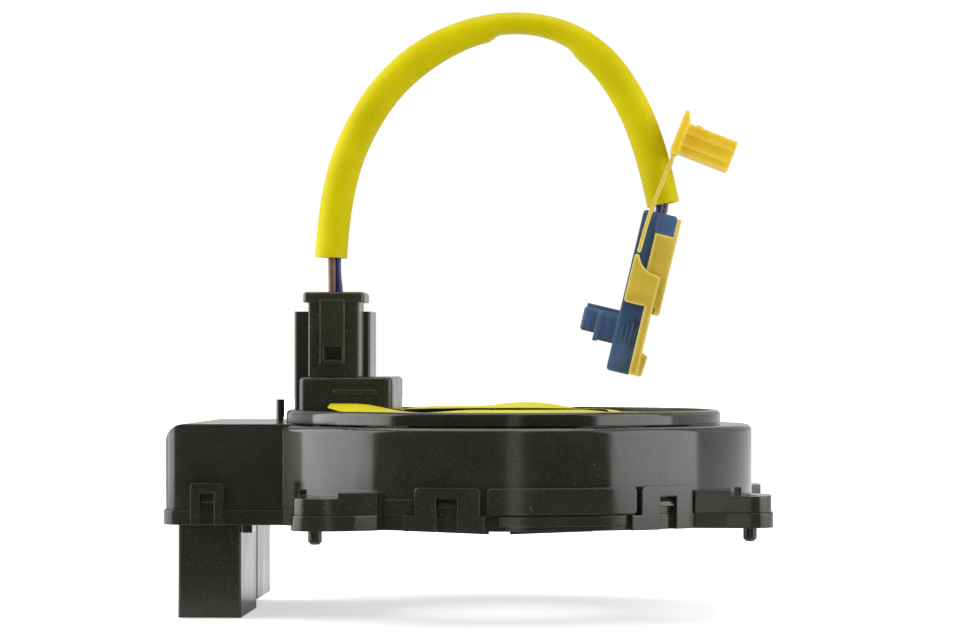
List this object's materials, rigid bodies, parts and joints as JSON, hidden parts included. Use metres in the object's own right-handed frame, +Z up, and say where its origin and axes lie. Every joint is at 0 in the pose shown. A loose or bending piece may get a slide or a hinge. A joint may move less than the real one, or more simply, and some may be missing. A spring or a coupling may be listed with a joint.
{
  "type": "steering clock spring",
  "caption": "Steering column clock spring: ring-shaped drum, turning rotor with an upward switch socket, and a short sleeved airbag lead with a locking plug.",
  "frame": {"origin": "on the steering axis, in the plane of the bottom cover's underside", "axes": "+Z up the steering axis towards the wheel, -Y the front with the lead holder, -X the side box with the column sockets"},
  "size_m": [0.1289, 0.1118, 0.1315],
  "materials": {
    "black_plastic": "smooth black moulding with a soft gloss",
    "black_connector": "satin black moulding",
    "rotor_plastic": "smooth black moulding with a soft gloss",
    "retainer_plastic": "natural white moulding",
    "tinned_brass": "tin plated",
    "slide_film": "thin polished film",
    "cable_film": "film cable, smooth",
    "yellow_film": "satin film",
    "brown_insulation": "satin wire insulation",
    "blue_insulation": "satin wire insulation",
    "yellow_sleeve": "soft satin tube",
    "blue_plastic": "satin moulding",
    "yellow_plastic": "satin moulding",
    "cap_plastic": "satin moulding",
    "ferrite": "dull sintered"
  },
  "bodies": {
    "drum": {"case": "black_plastic", "bottom_cover": "black_plastic", "column_connector": "black_connector", "front_terminal_pins": "tinned_brass", "rear_terminal_pins": "tinned_brass", "lower_slide_sheet": "slide_film", "upper_slide_sheet": "slide_film", "flat_cable": "cable_film"},
    "rotor_body": {"rotor": "rotor_plastic", "retainer_ring": "retainer_plastic", "connector_block": "black_connector", "switch_pins": "tinned_brass", "lead_holder": "black_connector", "lead_terminals": "tinned_brass", "label": "yellow_film", "wire_brown": "brown_insulation", "wire_blue": "blue_insulation", "lead_sleeve": "yellow_sleeve", "squib_housing": "blue_plastic", "squib_cover": "yellow_plastic", "squib_lock_frame": "yellow_plastic", "squib_ferrite": "ferrite", "squib_terminals": "tinned_brass"},
    "straps": {"lock_straps": "yellow_plastic"},
    "cap": {"lock_cap": "cap_plastic"}
  },
  "joints": [
    {"name": "rotor_turn", "type": "hinge", "parent": "drum", "child": "rotor_body", "pos_m": [0, 0, 0.0209], "axis": [0, 0, 1], "range_deg": [-900, 900], "deforming": ["flat_cable"]},
    {"name": "strap_swing", "type": "hinge", "parent": "rotor_body", "child": "straps", "pos_m": [0.02983, -0.011, 0.05835], "axis": [0, 1, 0], "range_deg": [0, 105]},
    {"name": "cap_fold", "type": "hinge", "parent": "straps", "child": "cap", "pos_m": [0.03691, -0.011, 0.07823], "axis": [0, 1, 0], "range_deg": [-5, 55]}
  ]
}
